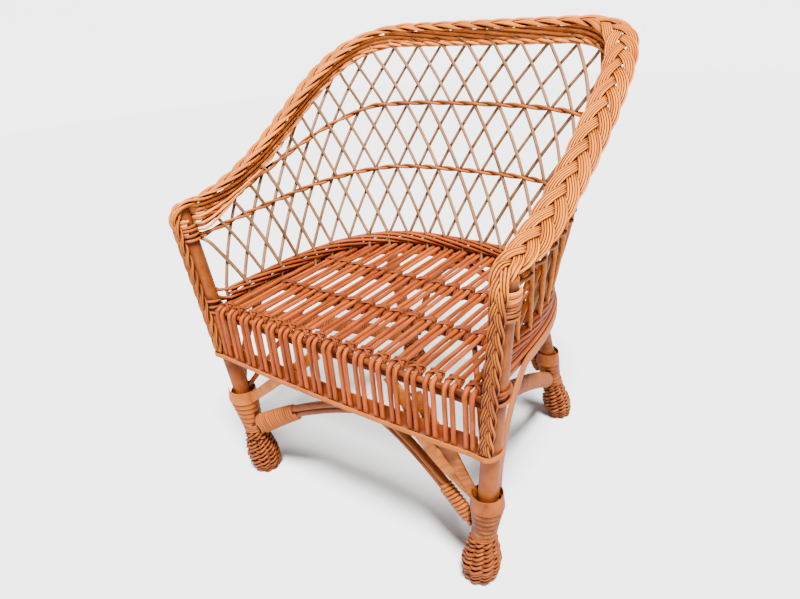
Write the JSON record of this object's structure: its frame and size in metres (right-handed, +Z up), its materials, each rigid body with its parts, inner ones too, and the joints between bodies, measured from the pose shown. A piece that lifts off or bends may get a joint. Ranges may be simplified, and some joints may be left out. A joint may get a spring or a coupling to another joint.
{
  "type": "woven armchair",
  "caption": "Low-backed willow armchair with a laid rod seat, a lattice tub back, a plaited rim over the arms and front legs, arched stretchers, rear stays and woven feet.",
  "frame": {"origin": "on the floor, under the middle of the chair's overall box", "axes": "+Z up, -Y to the front, +X to the right of someone who faces the chair"},
  "size_m": [0.691, 0.5861, 0.8648],
  "materials": {
    "peeled_rod": "peeled and stained willow rod, satin",
    "seat_rod": "stained willow rod, satin, worn bright on top",
    "split_strip": "split willow strip, satin",
    "woven_rod": "plaited and woven willow, satin"
  },
  "bodies": {
    "root": {"apron_strip_inner": "split_strip", "apron_strip_outer": "split_strip", "back_arch": "peeled_rod", "base_band_lower": "peeled_rod", "base_band_upper": "peeled_rod", "corner_brace_left": "split_strip", "corner_brace_right": "split_strip", "front_arch_lower": "peeled_rod", "front_arch_upper": "peeled_rod", "front_brace_left": "split_strip", "front_brace_right": "split_strip", "left_stay_lower": "peeled_rod", "left_stay_upper": "peeled_rod", "leg_binding_front_left": "split_strip", "leg_binding_front_right": "split_strip", "leg_binding_rear_left": "split_strip", "leg_binding_rear_right": "split_strip", "leg_front_left": "peeled_rod", "leg_front_right": "peeled_rod", "leg_rear_left": "peeled_rod", "leg_rear_right": "peeled_rod", "middle_band_inner": "peeled_rod", "middle_band_outer": "peeled_rod", "right_stay_lower": "peeled_rod", "right_stay_upper": "peeled_rod", "rim_plait_strand_1": "woven_rod", "rim_plait_strand_2": "woven_rod", "rim_plait_strand_3": "woven_rod", "rim_stake_band": "woven_rod", "seat_cross_bar_1": "peeled_rod", "seat_cross_bar_2": "peeled_rod", "seat_front_bar": "peeled_rod", "seat_hoop": "peeled_rod", "seat_lashing_1": "split_strip", "seat_lashing_2": "split_strip", "seat_pair_01": "seat_rod", "seat_pair_02": "seat_rod", "seat_pair_03": "seat_rod", "seat_pair_04": "seat_rod", "seat_pair_05": "seat_rod", "seat_pair_06": "seat_rod", "seat_pair_07": "seat_rod", "seat_pair_08": "seat_rod", "seat_pair_09": "seat_rod", "seat_pair_10": "seat_rod", "seat_pair_11": "seat_rod", "seat_pair_12": "seat_rod", "seat_pair_13": "seat_rod", "seat_pair_14": "seat_rod", "seat_pair_15": "seat_rod", "seat_pair_16": "seat_rod", "seat_pair_17": "seat_rod", "side_strip": "split_strip", "upper_band_inner": "peeled_rod", "upper_band_outer": "peeled_rod", "wall_lattice": "peeled_rod", "woven_foot_front_left": "woven_rod", "woven_foot_front_right": "woven_rod", "woven_foot_rear_left": "woven_rod", "woven_foot_rear_right": "woven_rod"}
  },
  "joints": []
}
